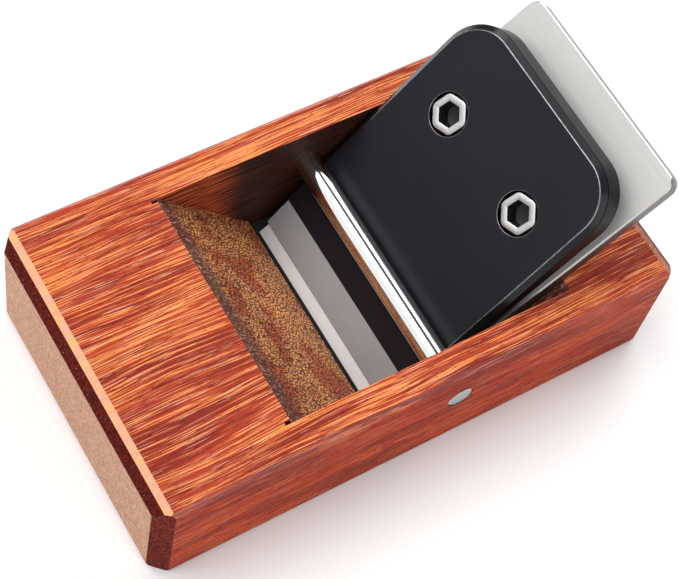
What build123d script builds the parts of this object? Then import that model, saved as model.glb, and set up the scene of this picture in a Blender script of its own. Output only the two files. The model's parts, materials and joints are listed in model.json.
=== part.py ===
"""Small hardwood bench plane: a solid body, an iron, a tapered cap, a cross rod and two set screws.

Millimetres. X runs from the toe to the heel, Y across, Z up from the sole.
The origin is the middle of the sole.
"""

from math import cos, radians, sin, tan
import os

from build123d import *

# ---- body ----------------------------------------------------------------------------------------
BODY_LENGTH = 105.0
BODY_WIDTH = 60.0
BODY_HEIGHT = 25.0
CORNER_CUT = 2.9  # flat down each upright corner
END_BEVEL_DROP = 2.6  # end bevels, made of two facets
END_BEVEL_RUN = 2.8
END_BEVEL_MIDDLE = (1.5, 0.6)  # run and drop where the two facets meet
LONG_EDGE_CUT = 0.9
SOLE_EDGE_CUT = 0.5
HEEL_ROUND = 4.2
TOE_ROUND = 1.0

# ---- throat, mouth and bed -----------------------------------------------------------------------
THROAT_WIDTH = 48.0
THROAT_FRONT_X = -24.9
MOUTH_FRONT_X = -3.8
MOUTH_WALL = 1.2  # upright lip below the ramp
BED_ANGLE = 40.0
BED_GAP = 0.05  # between the iron's back and the bed
SAW_NICK_LENGTH = 1.1
SAW_NICK_WIDTH = 0.7
SAW_NICK_DEPTH = 2.5
BEYOND = 2.0  # how far a cut runs past the wood

# ---- iron ----------------------------------------------------------------------------------------
IRON_WIDTH = 44.0
IRON_LENGTH = 68.8
IRON_THICKNESS = 3.0
IRON_EDGE_X = -2.75
IRON_EDGE_Z = 0.1
GRIND_ANGLE = 28.0
IRON_CORNER_RADIUS = 2.4
IRON_EDGE_BREAK = 0.25

# ---- cross rod -----------------------------------------------------------------------------------
ROD_RADIUS = 2.5
ROD_X = 7.0
ROD_Z = 15.4
ROD_CLEARANCE = 0.05
ROD_END_RECESS = 0.1
ROD_END_CUT = 0.3

# ---- cap -----------------------------------------------------------------------------------------
CAP_WIDTH = 45.2
CAP_SHIFT = 0.8  # the cap hangs loose between the cheeks, a little nearer the far one
CAP_TILT = 9.0  # top face against the iron
CAP_UNDERSIDE_TILT = 4.5
CAP_NOSE = 2.6  # distance from the cutting edge
CAP_NOSE_THICKNESS = 0.3
CAP_BEVEL_END = 8.9
CAP_END = 61.6
CAP_CORNER_RADIUS = 9.0
CAP_TOP_CUT = 1.1
TOUCH_GAP = 0.05  # where cap, rod, screws and iron bear on each other

# ---- set screws ----------------------------------------------------------------------------------
SCREW_STATION = 44.6  # distance from the cutting edge along the iron
SCREW_SPACING = 22.8
SCREW_RADIUS = 4.0
THREAD_CLEARANCE = 0.08
THREAD_PITCH = 1.25
THREAD_DEPTH = 0.6
SCREW_SINK = 0.15  # rim below the cap's face
RIM_ACROSS_CORNERS = 7.8
RIM_ROUND = 1.2
RIM_HEIGHT = 0.8
SOCKET_ACROSS_FLATS = 4.2
SOCKET_DEPTH = 3.2
SOCKET_CONE_DEPTH = 1.0
HEX_TURN = 50.0
TIP_RADIUS = 2.8
TIP_CROWN = 6.0

# The iron lies on a slope. Along it, s counts from the cutting edge and h from its upper face.
bed = radians(BED_ANGLE)
tilt = radians(CAP_TILT)
along = Vector(cos(bed), 0, sin(bed))
off_iron = Vector(-sin(bed), 0, cos(bed))
edge = Vector(IRON_EDGE_X, 0, IRON_EDGE_Z)
iron_side = Plane(origin=edge, x_dir=along, z_dir=(0, -1, 0))

# The cap's upper face touches the rod from below, seen in the sloping frame.
rod_from_edge = Vector(ROD_X, 0, ROD_Z) - edge
cap_face = Vector(-sin(tilt), cos(tilt))
rod_centre = Vector(rod_from_edge.dot(along), rod_from_edge.dot(off_iron))
rod_contact = rod_centre - cap_face * (ROD_RADIUS + TOUCH_GAP)


def cap_top(s):
    """Height of the cap's upper face above the iron, at distance s from the cutting edge."""
    return rod_contact.Y + (s - rod_contact.X) * tan(tilt)


def on_slope(s, h, y=0.0):
    """A point of the sloping frame, in the body's frame."""
    return edge + along * s + off_iron * h + Vector(0, y, 0)


# ---- wooden body ---------------------------------------------------------------------------------
toe_x, heel_x = -BODY_LENGTH / 2, BODY_LENGTH / 2
middle_run, middle_drop = END_BEVEL_MIDDLE
bed_foot = on_slope(0, -IRON_THICKNESS - BED_GAP)


def bed_x(z):
    """Where the bed is at height z."""
    return bed_foot.X + (z - bed_foot.Z) / tan(bed)


with BuildPart() as wood_body:
    with BuildSketch(Plane.XZ):
        with BuildLine():
            Polyline(
                (toe_x, 0),
                (toe_x, BODY_HEIGHT - END_BEVEL_DROP),
                (toe_x + middle_run, BODY_HEIGHT - middle_drop),
                (toe_x + END_BEVEL_RUN, BODY_HEIGHT),
                (heel_x - END_BEVEL_RUN, BODY_HEIGHT),
                (heel_x - middle_run, BODY_HEIGHT - middle_drop),
                (heel_x, BODY_HEIGHT - END_BEVEL_DROP),
                (heel_x, 0),
                close=True,
            )
        make_face()
    extrude(amount=BODY_WIDTH / 2, both=True)
    # the sole's two ends are rounded, the heel much more than the toe
    for end, radius in ((-1, HEEL_ROUND), (0, TOE_ROUND)):
        sole_ends = wood_body.edges().filter_by(Axis.Y).group_by(Axis.Z)[0].sort_by(Axis.X)
        fillet(sole_ends[end], radius)
    # upright corners
    with BuildSketch():
        Rectangle(BODY_LENGTH, BODY_WIDTH)
        chamfer(vertices(), CORNER_CUT)
    extrude(amount=BODY_HEIGHT, mode=Mode.INTERSECT)
    chamfer(wood_body.edges().filter_by(Axis.X).group_by(Axis.Z)[-1], LONG_EDGE_CUT)
    chamfer(wood_body.edges().filter_by(Axis.X).group_by(Axis.Z)[0], SOLE_EDGE_CUT)
    # throat: ramp in front, bed behind, open through the sole at the mouth
    with BuildSketch(Plane.XZ):
        with BuildLine():
            Polyline(
                (THROAT_FRONT_X, BODY_HEIGHT + BEYOND),
                (THROAT_FRONT_X, BODY_HEIGHT),
                (MOUTH_FRONT_X, MOUTH_WALL),
                (MOUTH_FRONT_X, -BEYOND),
                (bed_x(-BEYOND), -BEYOND),
                (bed_x(BODY_HEIGHT + BEYOND), BODY_HEIGHT + BEYOND),
                close=True,
            )
        make_face()
    extrude(amount=THROAT_WIDTH / 2, both=True, mode=Mode.SUBTRACT)
    # saw overruns at the throat's two front corners
    nick_x = THROAT_FRONT_X - SAW_NICK_LENGTH / 2
    nick_y = THROAT_WIDTH / 2 - SAW_NICK_WIDTH / 2
    with BuildSketch(Plane.XY.offset(BODY_HEIGHT - SAW_NICK_DEPTH)):
        with Locations((nick_x, -nick_y), (nick_x, nick_y)):
            Rectangle(SAW_NICK_LENGTH, SAW_NICK_WIDTH)
    extrude(amount=SAW_NICK_DEPTH, mode=Mode.SUBTRACT)
    # hole through both cheeks for the rod
    with Locations(Plane(origin=(ROD_X, -BODY_WIDTH / 2, ROD_Z), z_dir=(0, -1, 0))):
        Hole(radius=ROD_RADIUS + ROD_CLEARANCE)

# ---- cross rod -----------------------------------------------------------------------------------
with BuildPart() as cross_rod:
    with BuildSketch(Plane.XZ):
        with Locations((ROD_X, ROD_Z)):
            Circle(ROD_RADIUS)
    extrude(amount=BODY_WIDTH / 2 - ROD_END_RECESS, both=True)
    chamfer(cross_rod.edges().filter_by(GeomType.CIRCLE), ROD_END_CUT)

# ---- iron ----------------------------------------------------------------------------------------
grind_run = IRON_THICKNESS / tan(radians(GRIND_ANGLE))
with BuildPart() as iron:
    with BuildSketch(iron_side):
        with BuildLine():
            Polyline(
                (0, 0),
                (IRON_LENGTH, 0),
                (IRON_LENGTH, -IRON_THICKNESS),
                (grind_run, -IRON_THICKNESS),
                close=True,
            )
        make_face()
    extrude(amount=IRON_WIDTH / 2, both=True)
    fillet(iron.edges().filter_by(Axis((0, 0, 0), off_iron)), IRON_CORNER_RADIUS)
    upper_face = iron.faces().sort_by(Axis((0, 0, 0), off_iron))[-1]
    chamfer(upper_face.edges().sort_by(Axis((0, 0, 0), along))[1:], IRON_EDGE_BREAK)

# ---- cap -----------------------------------------------------------------------------------------
rear_top = Vector(CAP_END, cap_top(CAP_END))
underside = radians(CAP_UNDERSIDE_TILT)
# the end face stands square to the upper face and meets the underside here
drop = (rear_top.Y - TOUCH_GAP - (CAP_END - CAP_BEVEL_END) * tan(underside)) / (
    cos(tilt) + sin(tilt) * tan(underside)
)
rear_bottom = rear_top - cap_face * drop
cap_along = along * cos(tilt) + off_iron * sin(tilt)
cap_normal = off_iron * cos(tilt) - along * sin(tilt)
screw_ys = (CAP_SHIFT - SCREW_SPACING / 2, CAP_SHIFT + SCREW_SPACING / 2)
cap_side = Plane(origin=edge + Vector(0, CAP_SHIFT, 0), x_dir=along, z_dir=(0, -1, 0))


def screw_plane(y):
    """Where a screw's axis meets the cap's upper face."""
    top = on_slope(SCREW_STATION, cap_top(SCREW_STATION), y)
    return Plane(origin=top, x_dir=cap_along, z_dir=cap_normal)


with BuildPart() as cap:
    with BuildSketch(cap_side):
        with BuildLine():
            Polyline(
                (CAP_NOSE, TOUCH_GAP),
                (CAP_NOSE, TOUCH_GAP + CAP_NOSE_THICKNESS),
                (CAP_BEVEL_END, cap_top(CAP_BEVEL_END)),
                (rear_top.X, rear_top.Y),
                (rear_bottom.X, rear_bottom.Y),
                (CAP_BEVEL_END, TOUCH_GAP),
                close=True,
            )
        make_face()
    extrude(amount=CAP_WIDTH / 2, both=True)
    fillet(cap.edges().filter_by(Axis((0, 0, 0), cap_normal)), CAP_CORNER_RADIUS)
    top_face = cap.faces().sort_by(Axis((0, 0, 0), cap_normal))[-1]
    chamfer(top_face.edges().sort_by(Axis((0, 0, 0), along))[1:], CAP_TOP_CUT)
    with Locations(*(screw_plane(y) for y in screw_ys)):
        Hole(radius=SCREW_RADIUS)

# ---- set screws ----------------------------------------------------------------------------------
# On a screw's own axis, z is 0 at the cap's upper face and runs down to the crowned tip.
crown_centre = (cap_top(SCREW_STATION) - TOUCH_GAP - TIP_CROWN) / cos(tilt)
tip_z = -crown_centre - TIP_CROWN
crown_edge_z = -crown_centre - (TIP_CROWN**2 - TIP_RADIUS**2) ** 0.5
rim_top_z = -SCREW_SINK
shank_top_z = rim_top_z - RIM_HEIGHT
shank_radius = SCREW_RADIUS - THREAD_CLEARANCE
root_radius = shank_radius - THREAD_DEPTH
thread_count = int((shank_top_z - crown_edge_z) / THREAD_PITCH)


def thread_outline():
    """Half outline of the shank: thread crests and roots, then the crowned tip."""
    outline = [(0, shank_top_z), (root_radius, shank_top_z)]
    for turn in range(thread_count):
        start = shank_top_z - turn * THREAD_PITCH
        outline.append((shank_radius, start - THREAD_PITCH * 3 / 8))
        outline.append((shank_radius, start - THREAD_PITCH * 5 / 8))
        outline.append((root_radius, start - THREAD_PITCH))
    return outline


def set_screw(y):
    """A set screw with a six-sided rim, at distance y from the middle."""
    seat = screw_plane(y)
    with BuildPart() as screw:
        with BuildSketch(Plane(origin=seat.origin, x_dir=seat.x_dir, z_dir=-seat.y_dir)):
            with BuildLine():
                outline = Polyline(*thread_outline(), (TIP_RADIUS, crown_edge_z))
                RadiusArc(outline @ 1, (0, tip_z), TIP_CROWN)
                Line((0, tip_z), (0, shank_top_z))
            make_face()
        revolve(axis=Axis(seat.origin, seat.z_dir))
        with BuildSketch(seat.offset(shank_top_z)):
            RegularPolygon(RIM_ACROSS_CORNERS / 2, 6, rotation=HEX_TURN)
            fillet(vertices(), RIM_ROUND)
        extrude(amount=RIM_HEIGHT)
        with BuildSketch(seat.offset(rim_top_z)):
            RegularPolygon(SOCKET_ACROSS_FLATS / 2, 6, major_radius=False, rotation=HEX_TURN)
        extrude(amount=-SOCKET_DEPTH, mode=Mode.SUBTRACT)
        with Locations(seat.offset(rim_top_z - SOCKET_DEPTH - SOCKET_CONE_DEPTH / 2)):
            Cone(0, SOCKET_ACROSS_FLATS / 2, SOCKET_CONE_DEPTH, mode=Mode.SUBTRACT)
    return screw


set_screw_near, set_screw_far = (set_screw(y) for y in screw_ys)

# ---- write ---------------------------------------------------------------------------------------
os.makedirs("parts", exist_ok=True)
pieces = {
    "wood_body": wood_body,
    "cross_rod": cross_rod,
    "cutting_iron": iron,
    "cap_iron": cap,
    "set_screw_near": set_screw_near,
    "set_screw_far": set_screw_far,
}
for name, piece in pieces.items():
    piece.part.label = name
    export_step(piece.part, f"parts/{name}.step")
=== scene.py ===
"""Studio model of a small wooden bench plane, made piece by piece around its CAD frame.

The file is laid out as a Blender add-on, and run as a script it makes every piece and the stage.
Lengths are metres. X runs from toe to heel, Y from the near side to the far side and Z up from the
sole.
"""

import json
from math import atan2, cos, pi, radians, sin, sqrt

import bmesh
import bpy
from bpy.props import FloatProperty, FloatVectorProperty, IntProperty, PointerProperty
from mathutils import Matrix, Vector


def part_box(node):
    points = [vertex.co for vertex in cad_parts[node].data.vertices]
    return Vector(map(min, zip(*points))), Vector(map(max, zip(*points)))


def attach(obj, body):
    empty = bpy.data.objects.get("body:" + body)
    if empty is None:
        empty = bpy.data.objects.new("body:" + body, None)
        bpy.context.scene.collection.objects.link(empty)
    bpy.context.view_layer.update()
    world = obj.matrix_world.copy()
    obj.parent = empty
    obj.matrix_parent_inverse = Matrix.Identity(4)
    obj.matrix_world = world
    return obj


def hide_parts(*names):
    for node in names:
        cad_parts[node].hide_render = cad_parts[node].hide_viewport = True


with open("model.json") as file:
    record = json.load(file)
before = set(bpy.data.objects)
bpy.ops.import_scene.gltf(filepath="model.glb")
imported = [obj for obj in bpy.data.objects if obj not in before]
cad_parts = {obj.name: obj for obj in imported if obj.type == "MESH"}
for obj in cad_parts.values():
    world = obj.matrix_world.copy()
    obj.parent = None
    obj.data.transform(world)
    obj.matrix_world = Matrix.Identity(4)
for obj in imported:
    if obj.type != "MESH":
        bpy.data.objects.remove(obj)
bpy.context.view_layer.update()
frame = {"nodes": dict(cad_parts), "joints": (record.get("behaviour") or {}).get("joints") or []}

bl_info = {
    "name": "Wooden Bench Plane",
    "version": (1, 0, 0),
    "blender": (4, 5, 0),
    "location": "View3D > Sidebar > Bench Plane",
    "description": "Makes a small wooden bench plane over its CAD frame, and a studio stage for it",
    "category": "Object",
}

MM = 0.001

# ---- places read from the frame ------------------------------------------------------------------
joints = {joint["name"]: joint for joint in frame["joints"]}
wood_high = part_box("wood_body")[1]
rod_low, rod_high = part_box("cross_rod")
iron_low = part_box("cutting_iron")[0]
ALONG = Vector((1, 0, 0))
ACROSS = Vector((0, 1, 0))
BED_DIRECTION = Vector(joints["iron_slide"]["axis"])
BED_SLOPE = atan2(BED_DIRECTION.z, BED_DIRECTION.x)
OFF_IRON = BED_DIRECTION.cross(-ACROSS).normalized()
IRON_EDGE = Vector((iron_low.x, 0, iron_low.z))
CAP_NORMAL = Vector(joints["screw_near_travel"]["axis"])
CAP_ALONG = ACROSS.cross(CAP_NORMAL)
ROD_CENTRE = (rod_low + rod_high) / 2
ROD_RADIUS = (rod_high.x - rod_low.x) / 2
RAMP_SLOPE = radians(130.9)  # the throat's ramp, from level


def reach(node, direction):
    """The lowest and highest reach of a CAD node along a direction."""
    along = [vertex.co.dot(direction) for vertex in frame["nodes"][node].data.vertices]
    return min(along), max(along)


def middle(node, direction):
    """Half way along a CAD node's reach in a direction."""
    return sum(reach(node, direction)) / 2


# ---- what a user may change ----------------------------------------------------------------------
def length(name, description, default):
    """A length property in metres."""
    return FloatProperty(
        name=name, description=description, default=default, min=0, unit="LENGTH", precision=5
    )


def share(name, description, default):
    """A property from 0 to 1."""
    return FloatProperty(
        name=name, description=description, default=default, min=0, max=1, subtype="FACTOR"
    )


def brightness(name, description, default):
    """A light's brightness."""
    return FloatProperty(name=name, description=description, default=default, min=0)


def colour(name, description, default):
    """A colour property, in linear light."""
    return FloatVectorProperty(
        name=name, description=description, default=default, min=0, max=1, subtype="COLOR"
    )


class BenchPlaneWood(bpy.types.PropertyGroup):
    """The wooden body's grain, colours and edges."""

    arris: length("Arris", "Width of the softened edges", 0.30 * MM)
    streak_length: length("Streak length", "How long one streak of grain runs", 16 * MM)
    streak_width: length("Streak width", "How wide one streak of grain is", 0.26 * MM)
    heart: colour("Heart", "Dark ribbons of the long grain", (0.225, 0.024, 0.015))
    warm: colour("Warm", "Middle tone of the long grain", (0.400, 0.050, 0.020))
    ribbon: colour("Ribbon", "Light streaks of the long grain", (0.840, 0.270, 0.082))
    fleck: colour("Fleck", "Pale lines left by filled pores", (0.800, 0.450, 0.300))
    pore: colour("Pore", "Open pores", (0.055, 0.007, 0.005))
    side_dark: colour("Side heart", "Dark ribbons of the long sides", (0.250, 0.020, 0.007))
    side_light: colour("Side warm", "Middle tone of the long sides", (0.430, 0.034, 0.007))
    end_grain: colour("End grain", "Sanded end grain at toe and heel", (0.725, 0.440, 0.295))
    end_bevel: colour("End bevel", "Steep facet of the end bevels", (0.100, 0.010, 0.007))
    corner: colour("Corner", "Cut upright corners", (0.150, 0.010, 0.003))
    peach: colour("Bevel light", "Shallow facet of the toe's bevel", (0.700, 0.350, 0.235))
    amber: colour("Bevel amber", "Yellow patches of the toe's bevel", (0.760, 0.400, 0.170))
    tan: colour("Heel bevel", "Shallow facet of the heel's bevel", (0.470, 0.200, 0.130))
    ramp_light: colour("Ramp", "Rough end grain of the throat's ramp", (0.800, 0.335, 0.110))
    ramp_dark: colour("Ramp pores", "Pores of the throat's ramp", (0.085, 0.018, 0.008))


class BenchPlaneSteel(bpy.types.PropertyGroup):
    """The cutting iron and the cross rod."""

    iron: colour("Iron", "Ground steel of the iron", (0.560, 0.550, 0.535))
    # the honed end near the cutting edge is real, but its near-white tone is partly a painted
    # highlight
    lapped_highlight: colour("Lapped end", "Brighter steel near the cutting edge", (0.960, 0.985, 1.000))
    iron_roughness: share("Iron roughness", "How dull the ground steel is", 0.34)
    iron_arris: length("Iron arris", "Width of the iron's softened edges", 0.10 * MM)
    rod: colour("Rod", "Plated steel of the cross rod", (0.780, 0.785, 0.780))
    rod_roughness: share("Rod roughness", "How dull the rod's plating is", 0.07)
    rod_end: colour("Rod end", "Faced end of the rod", (0.420, 0.520, 0.490))


class BenchPlaneCap(bpy.types.PropertyGroup):
    """The cap iron."""

    black: colour("Black", "Satin black of the cap", (0.0085, 0.0080, 0.0115))
    roughness: share("Roughness", "How dull the black is", 0.33)
    chamfer: colour("Chamfer", "Polished chamfer round the top", (0.010, 0.010, 0.012))
    nose: colour("Nose", "Bare ground steel of the cap's nose", (0.400, 0.425, 0.440))
    arris: length("Arris", "Width of the cap's worn edges", 0.12 * MM)
    arris_colour: colour("Worn edge", "Metal showing at the worn edges", (0.300, 0.300, 0.315))


class BenchPlaneScrews(bpy.types.PropertyGroup):
    """The two set screws."""

    plating: colour("Plating", "Plated steel of the screws", (0.660, 0.655, 0.655))
    roughness: share("Roughness", "How dull the plating is", 0.38)
    pitch: length("Pitch", "Distance between thread crests", 1.25 * MM)
    depth: length("Thread depth", "Depth of the thread below its crest", 0.55 * MM)
    turn_steps: IntProperty(
        name="Steps round", description="Points in one ring of a screw", default=72, min=24
    )


class BenchPlaneStudio(bpy.types.PropertyGroup):
    """Floor, lights and camera."""

    floor: colour("Floor", "Colour of the floor", (0.93, 0.93, 0.93))
    key: brightness("Key", "Brightness of the large light beyond the toe", 1.0)
    crown: brightness("Crown", "Brightness of the light overhead", 4.0)
    side: brightness("Side", "Brightness of the light on the near side", 1.4)
    strip: brightness("Strip", "Brightness of the narrow light over the heel", 4.0)
    air: brightness("Air", "Brightness of the room all round", 0.14)
    lens: FloatProperty(name="Lens", description="Focal length", default=98.95, unit="CAMERA")


GROUPS = {
    "plane_wood": BenchPlaneWood,
    "plane_steel": BenchPlaneSteel,
    "plane_cap": BenchPlaneCap,
    "plane_screws": BenchPlaneScrews,
    "plane_studio": BenchPlaneStudio,
}


# ---- nodes and materials -------------------------------------------------------------------------
def add_node(tree, kind, inputs, **settings):
    """Adds a node to a tree, with numbers or other nodes' outputs in its inputs."""
    node = tree.nodes.new(kind)
    for key, value in settings.items():
        setattr(node, key, value)
    for key, value in inputs.items():
        if isinstance(value, bpy.types.NodeSocket):
            tree.links.new(value, node.inputs[key])
        else:
            node.inputs[key].default_value = value
    return node


def work_out(tree, operation, first, second=0.0, third=0.0):
    """The result of a math node."""
    inputs = {0: first, 1: second, 2: third}
    return add_node(tree, "ShaderNodeMath", inputs, operation=operation).outputs[0]


def shade(tone, by):
    """A tone times a number or another tone, kept within full brightness."""
    by = by if isinstance(by, tuple) else (by,) * 3
    return tuple(min(c * b, 1) for c, b in zip(tone, by))


class Finish:
    """A material being made. Each method adds a node and hands back its output."""

    def __init__(self, name):
        self.material = bpy.data.materials.new(name)
        self.material.use_nodes = True
        self.tree = self.material.node_tree
        self.tree.nodes.clear()
        self.shader = self.tree.nodes.new("ShaderNodeBsdfPrincipled")
        output = self.tree.nodes.new("ShaderNodeOutputMaterial")
        self.tree.links.new(self.shader.outputs[0], output.inputs["Surface"])
        self.place = self.tree.nodes.new("ShaderNodeTexCoord").outputs["Object"]

    def add(self, kind, inputs, **settings):
        """Adds a node to this material."""
        return add_node(self.tree, kind, inputs, **settings)

    def vector(self, operation, first, second=(0, 0, 0)):
        """A vector worked out from one or two others."""
        node = self.add("ShaderNodeVectorMath", {0: first, 1: second}, operation=operation)
        return node.outputs[0]

    def turned(self, slope):
        """Coordinates turned about Y, so that X runs up a slope."""
        inputs = {"Vector": self.place, "Axis": (0, 1, 0), "Angle": slope}
        node = self.add("ShaderNodeVectorRotate", inputs, rotation_type="AXIS_ANGLE")
        return node.outputs[0]

    def part(self, axis):
        """One coordinate of the point being shaded."""
        return self.add("ShaderNodeSeparateXYZ", {0: self.place}).outputs[axis]

    def scaled(self, size, place=None, shift=0.0):
        """Coordinates in which a box of the given size is one unit."""
        inputs = {
            "Vector": place or self.place,
            "Scale": [1 / edge for edge in size],
            "Location": (shift,) * 3,
        }
        return self.add("ShaderNodeMapping", inputs).outputs[0]

    def noise(self, size, detail=2.0, roughness=0.5, distortion=0.0, place=None, shift=0.0):
        """Soft random values from 0 to 1, of the given size along X, Y and Z."""
        inputs = {
            "Vector": self.scaled(size, place, shift),
            "Scale": 1.0,
            "Detail": detail,
            "Roughness": roughness,
            "Distortion": distortion,
        }
        return self.add("ShaderNodeTexNoise", inputs).outputs["Fac"]

    def seams(self, size, place):
        """Distance to the nearest seam between many scattered cells."""
        inputs = {"Vector": self.scaled(size, place), "Scale": 1.0, "Randomness": 1.0}
        node = self.add("ShaderNodeTexVoronoi", inputs, feature="DISTANCE_TO_EDGE")
        return node.outputs["Distance"]

    def plus(self, first, second):
        """Two numbers added."""
        return work_out(self.tree, "ADD", first, second)

    def times(self, first, second):
        """Two numbers multiplied."""
        return work_out(self.tree, "MULTIPLY", first, second)

    def step(self, value, low, high, start=0.0, end=1.0):
        """Goes smoothly from start to end while value goes from low to high."""
        inputs = {
            "Value": value,
            "From Min": low,
            "From Max": high,
            "To Min": start,
            "To Max": end,
        }
        node = self.add("ShaderNodeMapRange", inputs, interpolation_type="SMOOTHSTEP")
        return node.outputs["Result"]

    def blend(self, factor, first, second, kind="MIX"):
        """One colour over another."""
        sides = [c if isinstance(c, bpy.types.NodeSocket) else (*c, 1.0) for c in (first, second)]
        inputs = {0: factor, 6: sides[0], 7: sides[1]}
        node = self.add("ShaderNodeMix", inputs, data_type="RGBA", blend_type=kind)
        return node.outputs[2]

    def lay(self, body, tone, mask, weight):
        """A tone laid over a body where a mask is, up to a weight."""
        return self.blend(self.times(mask, weight), body, tone)

    def tinted(self, body, tone):
        """A body's colour times a tone."""
        return self.blend(1.0, body, tone, "MULTIPLY")

    def bump(self, height, distance):
        """Dents and ridges, with height from 0 to 1 over a real distance."""
        inputs = {"Height": height, "Distance": distance, "Strength": 1.0}
        node = self.add("ShaderNodeBump", inputs)
        self.tree.links.new(node.outputs[0], self.shader.inputs["Normal"])

    def surface(self, **inputs):
        """Fills the shader's inputs; underscores in a name stand for spaces."""
        for key, value in inputs.items():
            socket = self.shader.inputs[key.replace("_", " ")]
            if isinstance(value, bpy.types.NodeSocket):
                self.tree.links.new(value, socket)
            else:
                socket.default_value = (*value, 1.0) if socket.type == "RGBA" else value
        return self.material


# ---- wood ----------------------------------------------------------------------------------------
GRAIN_WANDER = 2.6 * MM  # how far a streak strays to the side
END_DARK = (0.72, 0.60, 0.62)  # how rows of pores and soft clouds tint end grain
END_CLOUD = (0.90, 0.76, 0.76)
RAMP_RED = (0.62, 0.20, 0.16)  # how red heartwood and the pale foot tint the ramp
RAMP_PALE = (1.35, 1.35, 1.30)
RAMP_PAINTED_SHADE = (0.075, 0.022, 0.018)  # painted shade: the dark band below the ramp's upper edge
RAMP_FRAYED = (0.60, 0.34, 0.27)
PALE_FROM, PALE_TO = 17 * MM, 6 * MM  # heights of the ramp's pale foot
# heights of the painted shade below the ramp's upper edge, and how ragged its lower edge is
RAMP_PAINTED_SHADE_FROM, RAMP_PAINTED_SHADE_TO = 22 * MM, 25 * MM
RAMP_PAINTED_SHADE_RAGGED = 3 * MM
CHEEK_DARK = (0.090, 0.010, 0.006)
CHEEK_LIGHT = (0.640, 0.120, 0.038)
# painted shade: the near-black tone laid on the cheeks behind the iron
CHEEK_PAINTED_SHADE = (0.012, 0.005, 0.004)
CHEEK_PAINTED_SHADE_FROM, CHEEK_PAINTED_SHADE_TO = -14 * MM, -6 * MM  # where along the plane painted shade darkens the cheeks behind the iron
SAW_SLOPE = radians(38)


def long_grain(name, wood, dark, light, streaking, shine, lining=0.55):
    """Wood cut along the grain: light streaks over red ribbons, with dark pores and pale flecks."""
    finish = Finish(name)
    x, y = wood.streak_length, wood.streak_width
    wander = finish.noise((34 * MM, 9 * MM, 12 * MM), detail=1.0)
    aside = finish.add("ShaderNodeCombineXYZ", {"Y": finish.times(wander, GRAIN_WANDER)})
    place = finish.vector("ADD", finish.place, aside.outputs[0])
    zones = finish.noise((2.2 * x, 15 * y, 22 * y), place=place, shift=3.1)
    ribbons = finish.noise((0.9 * x, 2.6 * y, 5 * y), roughness=0.55, place=place, shift=5.2)
    body = finish.blend(finish.step(finish.plus(zones, ribbons), 0.84, 1.08), dark, light)
    fine = finish.noise((x, y, 2.2 * y), roughness=0.6, place=place)
    streak = finish.step(finish.plus(fine, finish.times(zones, 0.40)), 0.738, 0.765)
    body = finish.lay(body, wood.ribbon, streak, streaking)
    threads = finish.noise((0.5 * x, 0.55 * y, y), detail=1.0, place=place, shift=7.3)
    body = finish.lay(body, wood.heart, finish.step(threads, 0.43, 0.36), lining)
    flecks = finish.noise((0.6 * x, 0.6 * y, y), detail=1.0, place=place, shift=11.7)
    body = finish.lay(body, wood.fleck, finish.step(flecks, 0.645, 0.69), 0.8 * streaking)
    pitted = finish.noise((0.12 * x, 0.5 * y, y), detail=1.0, place=place, shift=19.9)
    pores = finish.step(pitted, 0.35, 0.29)
    body = finish.lay(body, wood.pore, pores, 0.75)
    finish.bump(finish.plus(finish.times(streak, 0.3), finish.times(pores, -0.8)), 0.05 * MM)
    rough = finish.step(pores, 0.0, 1.0, 0.45, 0.8)
    return finish.surface(Base_Color=body, Roughness=rough, Specular_IOR_Level=shine)


def end_grain(name, tone, wood, roughness, pitting, relief):
    """Wood cut across the grain and sanded: fine pores in wavy rows."""
    finish = Finish(name)
    rows = finish.noise((3 * MM, 0.55 * MM, 0.34 * MM), detail=4.0, roughness=0.75, distortion=0.6)
    cloud = finish.noise((9 * MM, 6 * MM, 4 * MM))
    pitted = finish.noise((4 * MM, 0.24 * MM, 0.2 * MM), detail=1.0, shift=5.0)
    pores = finish.step(pitted, 0.40, 0.30)
    body = finish.blend(finish.step(rows, 0.40, 0.60), shade(tone, END_DARK), shade(tone, 1.2))
    body = finish.blend(finish.step(cloud, 0.4, 0.7, 0.0, 0.3), body, shade(tone, END_CLOUD))
    body = finish.lay(body, wood.pore, pores, pitting)
    finish.bump(work_out(finish.tree, "SUBTRACT", rows, pores), relief)
    return finish.surface(Base_Color=body, Roughness=roughness, Specular_IOR_Level=0.05)


def sealed_grain(name, tone, wood):
    """End grain darkened by finish that soaked in: red between blots that are nearly black."""
    finish = Finish(name)
    blots = finish.noise((0.8 * MM, 0.5 * MM, 0.7 * MM), detail=4.0, roughness=0.7, distortion=0.5)
    fibres = finish.noise((3 * MM, 0.25 * MM, 1.2 * MM), roughness=0.6, shift=2.0)
    mixed = finish.plus(blots, finish.times(fibres, 0.6))
    body = finish.blend(finish.step(mixed, 0.68, 0.96), wood.pore, shade(tone, 1.45))
    specks = finish.noise((0.3 * MM,) * 3, detail=1.0, shift=8.0)
    body = finish.lay(body, wood.peach, finish.step(specks, 0.70, 0.74), 0.5)
    finish.bump(mixed, 0.10 * MM)
    return finish.surface(Base_Color=body, Roughness=0.55, Specular_IOR_Level=0.03)


def bevel_light(name, wood):
    """The toe bevel's shallow facet: pale, with amber patches and short ticks of grain."""
    finish = Finish(name)
    patches = finish.noise((5 * MM, 2.2 * MM, 5 * MM), roughness=0.6)
    ticks = finish.noise((1.6 * MM, 0.3 * MM, 1 * MM), roughness=0.6, shift=2.0)
    body = finish.blend(finish.step(patches, 0.46, 0.60), wood.peach, wood.amber)
    body = finish.blend(finish.step(ticks, 0.52, 0.62, 0.0, 0.6), body, wood.ribbon)
    finish.bump(ticks, 0.03 * MM)
    return finish.surface(Base_Color=body, Roughness=0.45, Specular_IOR_Level=0.3)


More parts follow.
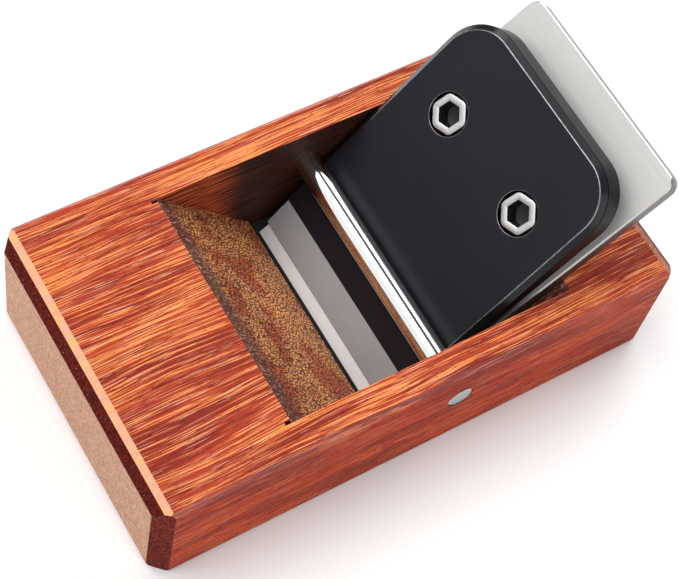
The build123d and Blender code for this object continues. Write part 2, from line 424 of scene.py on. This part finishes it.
def ramp_grain(name, wood):
    """Rough sawn end grain on the throat's ramp: swollen grain between deep pores."""
    finish = Finish(name)
    place = finish.turned(RAMP_SLOPE)
    seams = finish.seams((0.85 * MM, 0.60 * MM, 3 * MM), place)
    fuzz = finish.noise(
        (0.7 * MM, 0.5 * MM, 1 * MM), detail=3.0, roughness=0.7, distortion=0.8, place=place
    )
    swell = finish.plus(finish.times(finish.step(seams, 0.0, 0.26), 0.42), fuzz)
    body = finish.blend(finish.step(swell, 0.50, 0.92), wood.ramp_dark, wood.ramp_light)
    cloud = finish.noise((7 * MM, 8 * MM, 7 * MM), place=place, shift=4.0)
    red = finish.tinted(body, RAMP_RED)
    body = finish.blend(finish.step(cloud, 0.48, 0.62, 0.0, 0.8), body, red)
    height = finish.part("Z")
    pale = finish.tinted(body, RAMP_PALE)
    body = finish.blend(finish.step(height, PALE_FROM, PALE_TO), body, pale)
    # painted shade: a ragged dark band below the ramp's upper edge, with pale fibres laid over it
    ragged = finish.plus(height, finish.times(fuzz, RAMP_PAINTED_SHADE_RAGGED))
    ramp_shade_mask = finish.step(ragged, RAMP_PAINTED_SHADE_FROM, RAMP_PAINTED_SHADE_TO)
    body = finish.lay(body, RAMP_PAINTED_SHADE, ramp_shade_mask, 0.8)
    fibres = finish.noise((0.9 * MM, 0.35 * MM, 1 * MM), detail=1.0, place=place, shift=9.0)
    frayed = finish.times(finish.step(fibres, 0.60, 0.66), ramp_shade_mask)
    body = finish.lay(body, RAMP_FRAYED, frayed, 0.7)
    finish.bump(swell, 0.30 * MM)
    return finish.surface(Base_Color=body, Roughness=0.6, Specular_IOR_Level=0.35)


def cheek_grain(name, wood):
    """The throat's side walls: dark long grain with faint saw marks, and painted shade behind the
    iron.
    """
    finish = Finish(name)
    stripes = finish.noise((15 * MM, 3 * MM, 0.45 * MM), detail=3.0, roughness=0.6)
    across = finish.turned(SAW_SLOPE)
    saw = finish.noise((0.6 * MM, 3 * MM, 22 * MM), detail=1.0, place=across, shift=6.0)
    body = finish.blend(finish.step(stripes, 0.44, 0.56), CHEEK_DARK, CHEEK_LIGHT)
    body = finish.blend(finish.step(saw, 0.55, 0.7, 0.0, 0.3), body, wood.pore)
    # painted shade: the cheeks turn nearly black behind the iron
    cheek_shade_mask = finish.step(finish.part("X"), CHEEK_PAINTED_SHADE_FROM, CHEEK_PAINTED_SHADE_TO, 0.0, 0.92)
    body = finish.blend(cheek_shade_mask, body, CHEEK_PAINTED_SHADE)
    finish.bump(finish.plus(saw, stripes), 0.06 * MM)
    return finish.surface(Base_Color=body, Roughness=0.6, Specular_IOR_Level=0.25)


# ---- metal ---------------------------------------------------------------------------------------
STEEL_WARM = (0.5, 0.46, 0.42)  # faint warm clouds on ground steel
LAPPED_HIGHLIGHT_FROM, LAPPED_HIGHLIGHT_TO = 13 * MM, 10 * MM  # heights over which the iron turns brighter, partly a painted highlight
RING_SPACING = 0.16 * MM
# painted shade inside the screws' sockets
SOCKET_PAINTED_SHADE = (0.050, 0.050, 0.053)


def ground_steel(name, tone, roughness, streak, metal, lapped_highlight=None):
    """Ground steel, its fine lines running across, with a brighter honed end if given its tone;
    that end's near-white tone is partly a painted highlight.
    """
    finish = Finish(name)
    place = finish.turned(BED_SLOPE)
    lines = finish.noise((0.09 * MM, streak, 0.5 * MM), roughness=0.7, place=place)
    cloud = finish.noise((9 * MM, 12 * MM, 9 * MM), place=place)
    body = finish.blend(finish.step(lines, 0.3, 0.7, 0.0, 0.5), tone, shade(tone, 0.8))
    body = finish.blend(finish.step(cloud, 0.45, 0.75, 0.0, 0.1), body, STEEL_WARM)
    if lapped_highlight is not None:
        # honed end near the cutting edge, brightened to near white as a painted highlight
        lapped_highlight_mask = finish.step(finish.part("Z"), LAPPED_HIGHLIGHT_FROM, LAPPED_HIGHLIGHT_TO)
        body = finish.blend(lapped_highlight_mask, body, lapped_highlight)
    finish.bump(lines, 0.002 * MM)
    rough = finish.step(cloud, 0.3, 0.7, roughness - 0.04, roughness + 0.04)
    return finish.surface(Base_Color=body, Metallic=metal, Roughness=rough)


def plated_steel(name, tone, roughness):
    """Bright plating, with the faint lines that drawing left under it."""
    finish = Finish(name)
    drawn = finish.noise((0.12 * MM, 30 * MM, 0.12 * MM))
    body = finish.blend(finish.step(drawn, 0.4, 0.7, 0.0, 0.25), tone, shade(tone, 0.8))
    finish.bump(drawn, 0.0012 * MM)
    rough = finish.step(drawn, 0.3, 0.7, roughness, roughness + 0.03)
    return finish.surface(Base_Color=body, Metallic=1.0, Roughness=rough)


def faced_steel(name, tone):
    """The rod's faced ends, with turning marks round the centre."""
    finish = Finish(name)
    flat = finish.vector("MULTIPLY", finish.vector("SUBTRACT", finish.place, ROD_CENTRE), (1, 0, 1))
    radius = finish.add("ShaderNodeVectorMath", {0: flat}, operation="LENGTH").outputs["Value"]
    rings = work_out(finish.tree, "SINE", finish.times(radius, 2 * pi / RING_SPACING))
    body = finish.blend(finish.step(rings, -1.0, 1.0, 0.0, 0.2), tone, shade(tone, 0.75))
    finish.bump(finish.step(rings, -1.0, 1.0), 0.003 * MM)
    return finish.surface(Base_Color=body, Metallic=0.8, Roughness=0.34)


def satin_black(name, tone, roughness, metal=0.0, shine=0.22):
    """Fine even black finish over steel, with a trace of mottle."""
    finish = Finish(name)
    grit = finish.noise((0.10 * MM,) * 3, roughness=0.6)
    cloud = finish.noise((14 * MM,) * 3)
    body = finish.blend(finish.step(cloud, 0.3, 0.7), tone, shade(tone, 1.25))
    finish.bump(grit, 0.0025 * MM)
    broad = finish.step(cloud, 0.3, 0.7, roughness - 0.02, roughness + 0.03)
    rough = finish.plus(finish.step(grit, 0.3, 0.7, -0.03, 0.03), broad)
    return finish.surface(
        Base_Color=body, Metallic=metal, Roughness=rough, Specular_IOR_Level=shine
    )


def bare_edge(name, tone):
    """Bright metal where a black edge has worn through."""
    finish = Finish(name)
    wear = finish.noise((1.2 * MM,) * 3, detail=3.0, roughness=0.7)
    body = finish.blend(finish.step(wear, 0.35, 0.65), shade(tone, 0.7), tone)
    rough = finish.step(wear, 0.3, 0.7, 0.25, 0.32)
    return finish.surface(Base_Color=body, Metallic=1.0, Roughness=rough)


# ---- meshes --------------------------------------------------------------------------------------
MERGE = 0.0001 * MM
FLAT = radians(0.5)
SMOOTH = radians(32)
ARRIS_ANGLE = radians(18)  # edges sharper than this are softened
ARRIS_STEPS = 2
SQUARE = 0.99  # a face looks straight along a direction if its normal goes further along it


def link(name, mesh, materials):
    """Puts a mesh in the scene as a piece."""
    for material in materials:
        mesh.materials.append(material)
    piece = bpy.data.objects.new(name, mesh)
    bpy.context.scene.collection.objects.link(piece)
    return piece


def rectangle(name, x, y, z, material):
    """A level rectangle round the origin, reaching x and y each way, at height z."""
    corners = [(-x, -y, 0), (x, -y, 0), (x, y, 0), (-x, y, 0)]
    mesh = bpy.data.meshes.new(name)
    mesh.from_pydata(corners, [], [(0, 1, 2, 3)])
    piece = link(name, mesh, [material])
    piece.location.z = z
    return piece


def whole_copy(node, name, materials):
    """A copy of a CAD node with its triangles merged and its flat faces whole."""
    shape = bmesh.new()
    shape.from_mesh(frame["nodes"][node].data)
    bmesh.ops.remove_doubles(shape, verts=shape.verts, dist=MERGE)
    bmesh.ops.dissolve_limit(shape, angle_limit=FLAT, verts=shape.verts, edges=shape.edges)
    shape.verts.index_update()
    points = [vert.co.copy() for vert in shape.verts]
    faces = [[vert.index for vert in face.verts] for face in shape.faces]
    shape.free()
    mesh = bpy.data.meshes.new(name)
    mesh.from_pydata(points, [], faces)
    return link(name, mesh, materials)


def soften(piece, width, slot=-1):
    """Rounds every sharp edge of a piece, and gives the rounding its own material if told to."""
    piece.data.shade_smooth()
    bevel = piece.modifiers.new("arris", "BEVEL")
    bevel.width = width
    bevel.segments = ARRIS_STEPS
    bevel.limit_method = "ANGLE"
    bevel.angle_limit = ARRIS_ANGLE
    bevel.harden_normals = True
    bevel.material = slot
    make_plain(piece)


def make_plain(piece):
    """Turns what the modifiers show into the piece's own mesh."""
    bpy.context.view_layer.update()
    graph = bpy.context.evaluated_depsgraph_get()
    mesh = bpy.data.meshes.new_from_object(
        piece.evaluated_get(graph), preserve_all_data_layers=True, depsgraph=graph
    )
    mesh.name = piece.name
    piece.modifiers.clear()
    piece.data = mesh


def finish_piece(piece, body, node):
    """Rides the piece on its body in place of its CAD node."""
    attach(piece, body)
    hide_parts(node)


def loft(name, rings, materials):
    """A closed skin over rings of points, each with the same number of points or a single one."""
    shape = bmesh.new()
    rows = [[shape.verts.new(point) for point in ring] for ring in rings]
    for first, second in zip(rows, rows[1:]):
        for i in range(max(len(first), len(second))):
            corners = [first[i % len(first)], first[(i + 1) % len(first)]]
            corners += [second[(i + 1) % len(second)], second[i % len(second)]]
            shape.faces.new(list(dict.fromkeys(corners)))
    bmesh.ops.recalc_face_normals(shape, faces=shape.faces)
    mesh = bpy.data.meshes.new(name)
    shape.to_mesh(mesh)
    shape.free()
    return link(name, mesh, materials)


# ---- wooden body ---------------------------------------------------------------------------------
class BENCHPLANE_OT_body(bpy.types.Operator):
    """Make the wooden body, with its throat, bevels and cut corners"""

    bl_idname = "bench_plane.body"
    bl_label = "Wooden body"

    SIDE_BAND = 1 * MM  # a face nearer a long side than this isn't in the throat
    END_BAND = 4 * MM  # nor is one nearer an end than this
    EDGE_RISE = (0.15, 0.98)  # how far the normals of the softened long edges rise
    STEEP = 0.75  # rise of a bevel's normal below which it is the steep facet

    def execute(self, context):
        wood = context.scene.plane_wood
        finishes = {
            "top": long_grain("wood_top", wood, wood.heart, wood.warm, 0.95, 0.08, 0.65),
            "side": long_grain(
                "wood_side", wood, wood.side_dark, wood.side_light, 0.25, 0.05, 0.85
            ),
            "end": end_grain("wood_end", wood.end_grain, wood, 0.6, 0.4, 0.30 * MM),
            "steep": sealed_grain("wood_end_bevel", wood.end_bevel, wood),
            "corner": sealed_grain("wood_corner", wood.corner, wood),
            "shallow": bevel_light("wood_bevel_light", wood),
            "heel": end_grain("wood_heel_bevel", wood.tan, wood, 0.45, 0.3, 0.05 * MM),
            "arris": long_grain("wood_arris", wood, wood.heart, wood.warm, 0.5, 0.7),
            "ramp": ramp_grain("wood_ramp", wood),
            "cheek": cheek_grain("wood_cheek", wood),
        }
        order = list(finishes)
        body = whole_copy("wood_body", "body_block", finishes.values())
        for face in body.data.polygons:
            face.material_index = order.index(self.region(face))
        soften(body, wood.arris)
        for face in body.data.polygons:
            if self.long_edge(face):
                face.material_index = order.index("arris")
        finish_piece(body, "body", "wood_body")
        return {"FINISHED"}

    def long_edge(self, face):
        """Whether a face belongs to the softened edges between the top and the long sides."""
        lowest, highest = self.EDGE_RISE
        sloping = lowest < face.normal.z < highest and abs(face.normal.x) < 0.1
        return sloping and abs(face.center.y) > wood_high.y - self.SIDE_BAND

    def region(self, face):
        """Which finish a face of the block takes."""
        x, y, z = face.normal
        inside = (
            abs(face.center.y) < wood_high.y - self.SIDE_BAND
            and abs(face.center.x) < wood_high.x - self.END_BAND
        )
        if abs(z) > SQUARE:
            return "top"
        if inside:
            return "cheek" if abs(y) > 0.5 else "ramp"
        if abs(y) > 0.9:
            return "side"
        if abs(x) > SQUARE:
            return "end"
        if abs(y) > 0.5:
            return "corner" if abs(z) < 0.2 else "side"
        if z <= 0:
            return "side"
        if z < self.STEEP:
            return "steep"
        return "shallow" if x < 0 else "heel"


# ---- cross rod -----------------------------------------------------------------------------------
class BENCHPLANE_OT_rod(bpy.types.Operator):
    """Make the cross rod, turned and plated"""

    bl_idname = "bench_plane.rod"
    bl_label = "Cross rod"

    STEPS = 96
    EDGE = 0.30 * MM  # radius of the rounding at each end
    EDGE_STEP = 18  # degrees of it between two rings
    END_FACE = 0.999  # a face whose normal goes further along Y is an end

    def execute(self, context):
        steel = context.scene.plane_steel
        finishes = [
            plated_steel("rod_plating", steel.rod, steel.rod_roughness),
            faced_steel("rod_end", steel.rod_end),
        ]
        half, edge = rod_high.y, self.EDGE
        turns = [radians(d) for d in range(90, -1, -self.EDGE_STEP)]
        profile = [(half - edge + edge * sin(a), ROD_RADIUS - edge + edge * cos(a)) for a in turns]
        rings = [[(ROD_CENTRE.x, half, ROD_CENTRE.z)]]
        rings += [self.ring(y, r) for y, r in profile]
        rings += [self.ring(-y, r) for y, r in reversed(profile)]
        rings.append([(ROD_CENTRE.x, -half, ROD_CENTRE.z)])
        rod = loft("cross_rod_turned", rings, finishes)
        for face in rod.data.polygons:
            face.material_index = int(abs(face.normal.y) > self.END_FACE)
        rod.data.shade_smooth()
        rod.data.set_sharp_from_angle(angle=SMOOTH)
        finish_piece(rod, "rod", "cross_rod")
        return {"FINISHED"}

    def ring(self, y, radius):
        """One ring of the rod's skin."""
        turns = (2 * pi * i / self.STEPS for i in range(self.STEPS))
        return [(ROD_CENTRE.x + radius * cos(a), y, ROD_CENTRE.z + radius * sin(a)) for a in turns]


# ---- cutting iron --------------------------------------------------------------------------------
class BENCHPLANE_OT_iron(bpy.types.Operator):
    """Make the cutting iron, ground on every face"""

    bl_idname = "bench_plane.iron"
    bl_label = "Cutting iron"

    LONG_LINES = 22 * MM
    SHORT_LINES = 6 * MM
    SIDE_PAINTED_SHADE = 0.24  # painted shade: the iron's sides darker than its faces
    LEANING = 0.6  # how far a broad face's normal goes along the iron's, either way
    BACK = 0.97  # and the flat back's, which tells it from the grind

    def execute(self, context):
        steel = context.scene.plane_steel
        rough, side = steel.iron_roughness, shade(steel.iron, self.SIDE_PAINTED_SHADE)
        finishes = {
            "face": ground_steel(
                "iron_face", steel.iron, rough, self.LONG_LINES, 0.28, lapped_highlight=steel.lapped_highlight
            ),
            "side": ground_steel("iron_side", side, 0.34, self.SHORT_LINES, 0.9),
            "grind": ground_steel("iron_grind", steel.iron, 0.2, self.LONG_LINES, 0.8),
        }
        order = list(finishes)
        iron = whole_copy("cutting_iron", "iron_ground", finishes.values())
        for face in iron.data.polygons:
            face.material_index = order.index(self.region(face))
        soften(iron, steel.iron_arris)
        finish_piece(iron, "iron", "cutting_iron")
        return {"FINISHED"}

    def region(self, face):
        """Which finish a face of the iron takes."""
        up = face.normal.dot(OFF_IRON)
        if up > self.LEANING or up < -self.BACK:
            return "face"
        return "grind" if up < -self.LEANING else "side"


# ---- cap iron ------------------------------------------------------------------------------------
class BENCHPLANE_OT_cap(bpy.types.Operator):
    """Make the cap iron, black with polished chamfers and a bare ground nose"""

    bl_idname = "bench_plane.cap"
    bl_label = "Cap iron"

    TOP_EDGE = 0.72  # worn edges whose normals rise less than this stay black
    NOSE = 9 * MM  # how far the bare nose reaches up from the iron's edge
    NOSE_LINES = 9 * MM
    SIDE_PAINTED_SHADE = 0.3  # painted shade: the cap's sides darker than its top

    def execute(self, context):
        look = context.scene.plane_cap
        side = shade(look.black, self.SIDE_PAINTED_SHADE)
        finishes = {
            "top": satin_black("cap_black", look.black, look.roughness),
            "side": satin_black("cap_side", side, 0.3, shine=0.08),
            "chamfer": satin_black("cap_chamfer", look.chamfer, 0.2, shine=0.3),
            "nose": ground_steel("cap_nose", look.nose, 0.38, self.NOSE_LINES, 0.15),
            "edge": bare_edge("cap_edge", look.arris_colour),
        }
        order = list(finishes)
        edge = order.index("edge")
        cap = whole_copy("cap_iron", "cap_tapered", finishes.values())
        for face in cap.data.polygons:
            face.material_index = order.index(self.region(face))
        soften(cap, look.arris, edge)
        for face in cap.data.polygons:
            if face.material_index == edge and face.normal.dot(CAP_NORMAL) < self.TOP_EDGE:
                face.material_index = order.index("side")
        finish_piece(cap, "cap", "cap_iron")
        return {"FINISHED"}

    def region(self, face):
        """Which finish a face of the cap takes."""
        up = face.normal.dot(CAP_NORMAL)
        station = (Vector(face.center) - IRON_EDGE).dot(BED_DIRECTION)
        if up > SQUARE:
            return "nose" if station < self.NOSE else "top"
        return "chamfer" if up > 0.5 else "side"


# ---- set screws ----------------------------------------------------------------------------------
class BENCHPLANE_OT_screws(bpy.types.Operator):
    """Make the two set screws, with a six-sided rim, a socket and a cut thread"""

    bl_idname = "bench_plane.screws"
    bl_label = "Set screws"

    RIM_CORNER = 3.9 * MM  # centre to corner of the rim, its corners rounded
    RIM_ROUND = 1.2 * MM
    RIM_SINK = 0.15 * MM  # from the seat down to the rim's top
    RIM_FOOT = 0.95 * MM
    RIM_SOFT = 0.14 * MM  # width of the rounding round the rim's top
    RIM_STEP = 0.02 * MM
    SOCKET_CORNER = 2.42 * MM
    SOCKET_ROUND = 0.05 * MM
    SOCKET_DEPTH = 3.2 * MM
    SOCKET_CONE = 1.0 * MM  # the middle of the socket's floor below its corners
    SOCKET_DRILL = 0.35 * MM  # width of the ledge round that cone
    SOCKET_MOUTH = ((0.0, 0.2), (0.05, 0.06), (0.2, 0.0))  # mm outward, and mm below the rim's top
    SOCKET_BRIGHT = 0.1 * MM  # plating shows this far into it; deeper down, its walls take painted shade
    CREST = 3.9 * MM
    THREAD_START = 0.25 * MM  # below the rim
    ROWS_PER_PITCH = 12
    TIP_RADIUS = 2.8 * MM
    TIP_CROWN = 6.0 * MM
    TIP_ROWS = 7
    HEX_TURN = radians(50)

    def execute(self, context):
        look = context.scene.plane_screws
        plating = plated_steel("screw_plating", look.plating, look.roughness)
        # painted shade: the socket's walls take a near-black finish for the shade inside the hole
        socket = satin_black("screw_socket", SOCKET_PAINTED_SHADE, 0.4, metal=0.8)
        tree = thread_tree()
        for side in ("near", "far"):
            node = "set_screw_" + side
            tip, rim = reach(node, CAP_NORMAL)
            seat = CAP_NORMAL * (rim + self.RIM_SINK) + CAP_ALONG * middle(node, CAP_ALONG)
            seat += ACROSS * middle(node, ACROSS)
            tall = rim + self.RIM_SINK - tip
            screw = self.blank(node, tall, look, [plating, socket])
            modifier = screw.modifiers.new("thread", "NODES")
            modifier.node_group = tree
            values = {
                "Pitch": look.pitch,
                "Depth": look.depth,
                "Crest": self.CREST,
                "Top": -self.RIM_FOOT - self.THREAD_START,
                "Foot": self.crown_rise(self.TIP_RADIUS) - tall,
                "Seat": seat,
                "Lean": (0, -atan2(-CAP_NORMAL.x, CAP_NORMAL.z), 0),
                "Plating": plating,
                "Socket": socket,
            }
            for item in tree.interface.items_tree:
                if item.in_out == "INPUT" and item.name in values:
                    modifier[item.identifier] = values[item.name]
            make_plain(screw)
            screw.data.shade_smooth()
            screw.data.set_sharp_from_angle(angle=SMOOTH)
            finish_piece(screw, "screw_" + side, node)
        return {"FINISHED"}

    def crown_rise(self, radius):
        """How far the crowned tip rises from its middle out to a radius."""
        return self.TIP_CROWN - sqrt(self.TIP_CROWN**2 - radius**2)

    def ring(self, corner, z, rounding=None):
        """A ring of points at height z: a circle, or with a rounding, a six-sided ring."""
        steps = bpy.context.scene.plane_screws.turn_steps
        points = []
        for i in range(steps):
            turn = 2 * pi * i / steps
            radius = corner
            if rounding is not None:
                radius = hexagon(corner, rounding, turn - self.HEX_TURN)
            points.append((radius * cos(turn), radius * sin(turn), z))
        return points

    def blank(self, node, tall, look, materials):
        """The screw before its thread is cut, upright, with its seat at the origin."""
        top, foot, tip = -self.RIM_SINK, -self.RIM_FOOT, -tall
        floor = top - self.SOCKET_DEPTH
        shoulder = tip + self.crown_rise(self.TIP_RADIUS)
        shank, below = self.CREST - look.depth, foot - self.RIM_STEP
        rows = int((shoulder - foot) / -(look.pitch / self.ROWS_PER_PITCH))
        inner, outer, soft = self.SOCKET_CORNER, self.RIM_CORNER, self.RIM_SOFT
        socket = [(inner, floor)]
        socket += [(inner + out * MM, top - down * MM) for out, down in self.SOCKET_MOUTH]
        rim = (
            (outer - soft, top),
            (outer - 0.3 * soft, top - 0.3 * soft),
            (outer, top - soft),
            (outer, foot),
        )
        deepest = floor - self.SOCKET_CONE
        rings = [[(0, 0, deepest)], self.ring(inner - self.SOCKET_DRILL, floor)]
        rings += [self.ring(corner, z, self.SOCKET_ROUND) for corner, z in socket]
        rings += [self.ring(corner, z, self.RIM_ROUND) for corner, z in rim]
        rings.append(self.ring(shank, below))
        for i in range(1, rows):
            rings.append(self.ring(shank, below + (shoulder - foot) * i / rows))
        for i in range(self.TIP_ROWS):
            radius = self.TIP_RADIUS * (1 - i / self.TIP_ROWS)
            rings.append(self.ring(radius, tip + self.crown_rise(radius)))
        rings.append([(0, 0, tip)])
        blank = loft(node + "_cut", rings, materials)
        # faces deep in the socket take the painted shade
        brim = top - self.SOCKET_BRIGHT
        for face in blank.data.polygons:
            centre = Vector(face.center)
            face.material_index = int(centre.xy.length < inner and deepest < centre.z < brim)
        return blank


def hexagon(corner, rounding, turn):
    """How far a hexagon with rounded corners reaches from its centre, at an angle from a corner."""
    half = pi / 6  # half the turn that one side takes
    off = (turn + half) % (2 * half) - half
    hub = corner - rounding / cos(half)
    tangent = atan2(rounding * sin(half), hub + rounding * cos(half))
    if abs(off) < tangent:
        return hub * cos(off) + sqrt(rounding**2 - (hub * sin(off)) ** 2)
    return corner * cos(half) / cos(half - abs(off))


def thread_tree():
    """Geometry nodes that cut a thread into an upright shank and set the screw in its place."""
    tree = bpy.data.node_groups.new("cut_thread", "GeometryNodeTree")
    sockets = {
        "Geometry": "NodeSocketGeometry",
        "Pitch": "NodeSocketFloat",
        "Depth": "NodeSocketFloat",
        "Crest": "NodeSocketFloat",
        "Top": "NodeSocketFloat",
        "Foot": "NodeSocketFloat",
        "Seat": "NodeSocketVector",
        "Lean": "NodeSocketRotation",
        "Plating": "NodeSocketMaterial",
        "Socket": "NodeSocketMaterial",
    }
    for name, kind in sockets.items():
        tree.interface.new_socket(name, in_out="INPUT", socket_type=kind)
    tree.interface.new_socket("Geometry", in_out="OUTPUT", socket_type="NodeSocketGeometry")
    given = tree.nodes.new("NodeGroupInput").outputs

    def add(kind, inputs, **settings):
        """Adds a node and hands back its first output."""
        return add_node(tree, kind, inputs, **settings).outputs[0]

    def sum_of(operation, first, second=0.0, third=0.0):
        """The result of a math node of this tree."""
        return work_out(tree, operation, first, second, third)

    def rise(value, low, high):
        """Goes from 0 to 1 while value goes from low to high."""
        return add("ShaderNodeMapRange", {"Value": value, "From Min": low, "From Max": high})

    # how high the thread stands above its root, all along and round the shank
    place = add("GeometryNodeInputPosition", {})
    x, y, z = add_node(tree, "ShaderNodeSeparateXYZ", {0: place}).outputs
    radius = sum_of("SQRT", sum_of("ADD", sum_of("MULTIPLY", x, x), sum_of("MULTIPLY", y, y)))
    turn = sum_of("DIVIDE", sum_of("ARCTAN2", y, x), 2 * pi)
    phase = sum_of("SUBTRACT", sum_of("DIVIDE", z, given["Pitch"]), turn)
    # flat crests and roots, sloping flanks
    ridge = rise(sum_of("PINGPONG", phase, 0.5), 0.08, 0.42)
    near_top = rise(z, given["Top"], sum_of("SUBTRACT", given["Top"], given["Depth"]))
    near_foot = rise(z, given["Foot"], sum_of("ADD", given["Foot"], given["Depth"]))
    runs_out = sum_of("MULTIPLY", near_top, near_foot)
    lift = sum_of("MULTIPLY", sum_of("MULTIPLY", ridge, given["Depth"]), runs_out)
    # the shank's points moved out by it
    root = sum_of("SUBTRACT", given["Crest"], given["Depth"])
    factor = sum_of("DIVIDE", sum_of("ADD", root, lift), radius)
    moved = {0: sum_of("MULTIPLY", x, factor), 1: sum_of("MULTIPLY", y, factor), 2: z}
    cut = {
        "Geometry": given["Geometry"],
        "Selection": sum_of("COMPARE", radius, root, 0.01 * MM),
        "Position": add("ShaderNodeCombineXYZ", moved),
    }
    seated = {
        "Geometry": add("GeometryNodeSetPosition", cut),
        "Translation": given["Seat"],
        "Rotation": given["Lean"],
    }
    shape = add("GeometryNodeTransform", seated)
    shape = add("GeometryNodeRealizeInstances", {"Geometry": shape})
    index = add("GeometryNodeInputMaterialIndex", {})
    for slot, name in enumerate(("Plating", "Socket")):
        chosen = add("FunctionNodeCompare", {2: index, 3: slot}, data_type="INT", operation="EQUAL")
        inputs = {"Geometry": shape, "Selection": chosen, "Material": given[name]}
        shape = add("GeometryNodeSetMaterial", inputs)
    result = tree.nodes.new("NodeGroupOutput")
    tree.links.new(shape, result.inputs[0])
    return tree


# ---- stage ---------------------------------------------------------------------------------------
CAMERA_PLACE = (-0.11577, -0.11983, 0.30480)
CAMERA_TURN = (29.1757, -7.3737, -30.3040)  # degrees
CAMERA_SENSOR = 36
CAMERA_SHIFT = (0.0162, -0.0256)
CAMERA_NEAR = 0.01
FLOOR_REACH = 3.0
FLOOR_HEIGHT = -0.04 * MM
# painted shade: a dark sheet under the sole, so that the floor seen through the mouth reads black
SHADE_SHEET_HEIGHT = -0.02 * MM
SHADE_SHEET_INSET = 5 * MM
SHADE_SHEET_DARK = (0.010, 0.010, 0.011)
SHADE_SHEET_LIGHT = (0.022, 0.021, 0.022)
AIR_COLOUR = (0.95, 0.97, 1.0, 1.0)
# name of each light and of its setting, direction from the plane, distance, width and height,
# and what its width lies along
SOFTBOXES = (
    ("key", (-0.71, 0.36, 0.61), 0.80, (1.10, 0.66), ACROSS),
    ("crown", (-0.24, 0.30, 0.95), 0.80, (0.75, 0.43), ACROSS),
    ("side", (-0.25, -0.80, 0.55), 0.90, (1.30, 0.80), ALONG),
    ("strip", (0.61, 0.36, 0.68), 0.80, (0.90, 0.42), ACROSS),
)


def softbox(name, direction, distance, size, across, radiance):
    """A rectangle of soft light that faces the plane from a direction, hidden from the camera."""
    light = bpy.data.lights.new(name, "AREA")
    light.shape = "RECTANGLE"
    light.size, light.size_y = size
    light.energy = radiance * pi * light.size * light.size_y
    back = Vector(direction).normalized()
    side = (across - across.dot(back) * back).normalized()
    turn = Matrix((side, back.cross(side), back)).transposed().to_4x4()
    box = bpy.data.objects.new(name, light)
    box.matrix_world = Matrix.Translation(back * distance) @ turn
    box.visible_camera = False
    bpy.context.scene.collection.objects.link(box)


class BENCHPLANE_OT_stage(bpy.types.Operator):
    """Make the floor, the lights and the camera"""

    bl_idname = "bench_plane.stage"
    bl_label = "Studio stage"

    def execute(self, context):
        scene, studio = context.scene, context.scene.plane_studio
        self.floor(studio)
        # painted shade under the sole, seen through the mouth
        self.pad()
        self.air(scene, studio)
        for name, *light in SOFTBOXES:
            softbox(name, *light, getattr(studio, name))
        self.camera(scene, studio)
        scene.view_settings.view_transform = "Standard"
        return {"FINISHED"}

    def floor(self, studio):
        """The pale floor."""
        paint = Finish("stage_floor")
        paint.surface(Base_Color=studio.floor, Roughness=0.9, Specular_IOR_Level=0.1)
        floor = rectangle("floor", FLOOR_REACH, FLOOR_REACH, FLOOR_HEIGHT, paint.material)

    def pad(self):
        """A dark sheet under the sole, a little smaller than it: painted shade for the floor seen
        through the mouth.
        """
        sheet_paint = Finish("pad_felt")
        fuzz = sheet_paint.noise((0.4 * MM,) * 3, detail=3.0, roughness=0.7)
        sheet_paint.surface(Base_Color=sheet_paint.blend(fuzz, SHADE_SHEET_DARK, SHADE_SHEET_LIGHT), Roughness=1.0)
        x, y = wood_high.x - SHADE_SHEET_INSET, wood_high.y - SHADE_SHEET_INSET
        pad = rectangle("pad", x, y, SHADE_SHEET_HEIGHT, sheet_paint.material)

    def air(self, scene, studio):
        """Dim even light from all round."""
        world = bpy.data.worlds.new("studio_air")
        world.use_nodes = True
        background = world.node_tree.nodes["Background"]
        background.inputs[0].default_value = AIR_COLOUR
        background.inputs[1].default_value = studio.air
        scene.world = world

    def camera(self, scene, studio):
        """The camera, looking down on the toe and the near side."""
        data = bpy.data.cameras.new("camera")
        data.sensor_width = CAMERA_SENSOR
        data.lens = studio.lens
        data.shift_x, data.shift_y = CAMERA_SHIFT
        data.clip_start = CAMERA_NEAR
        camera = bpy.data.objects.new("camera", data)
        camera.location = CAMERA_PLACE
        camera.rotation_euler = [radians(turn) for turn in CAMERA_TURN]
        scene.collection.objects.link(camera)
        scene.camera = camera


# ---- the add-on ----------------------------------------------------------------------------------
class BENCHPLANE_PT_panel(bpy.types.Panel):
    """Buttons for each piece and its settings"""

    bl_label = "Bench Plane"
    bl_idname = "BENCHPLANE_PT_panel"
    bl_space_type = "VIEW_3D"
    bl_region_type = "UI"
    bl_category = "Bench Plane"

    def draw(self, context):
        for operator, group in PIECES:
            box = self.layout.box()
            box.operator(operator.bl_idname)
            settings = getattr(context.scene, group)
            for key in settings.bl_rna.properties.keys():
                if key not in {"rna_type", "name"}:
                    box.prop(settings, key)


PIECES = (
    (BENCHPLANE_OT_body, "plane_wood"),
    (BENCHPLANE_OT_rod, "plane_steel"),
    (BENCHPLANE_OT_iron, "plane_steel"),
    (BENCHPLANE_OT_cap, "plane_cap"),
    (BENCHPLANE_OT_screws, "plane_screws"),
    (BENCHPLANE_OT_stage, "plane_studio"),
)
CLASSES = (*GROUPS.values(), *(operator for operator, group in PIECES), BENCHPLANE_PT_panel)


def register():
    """Registers the classes and hangs the settings on the scene."""
    for cls in CLASSES:
        bpy.utils.register_class(cls)
    for name, group in GROUPS.items():
        setattr(bpy.types.Scene, name, PointerProperty(type=group))


def unregister():
    """Takes everything back out."""
    for name in GROUPS:
        delattr(bpy.types.Scene, name)
    for cls in reversed(CLASSES):
        bpy.utils.unregister_class(cls)


def main():
    """Makes every piece and the stage."""
    register()
    bpy.ops.bench_plane.body()
    bpy.ops.bench_plane.rod()
    bpy.ops.bench_plane.iron()
    bpy.ops.bench_plane.cap()
    bpy.ops.bench_plane.screws()
    bpy.ops.bench_plane.stage()


if __name__ == "__main__":
    main()
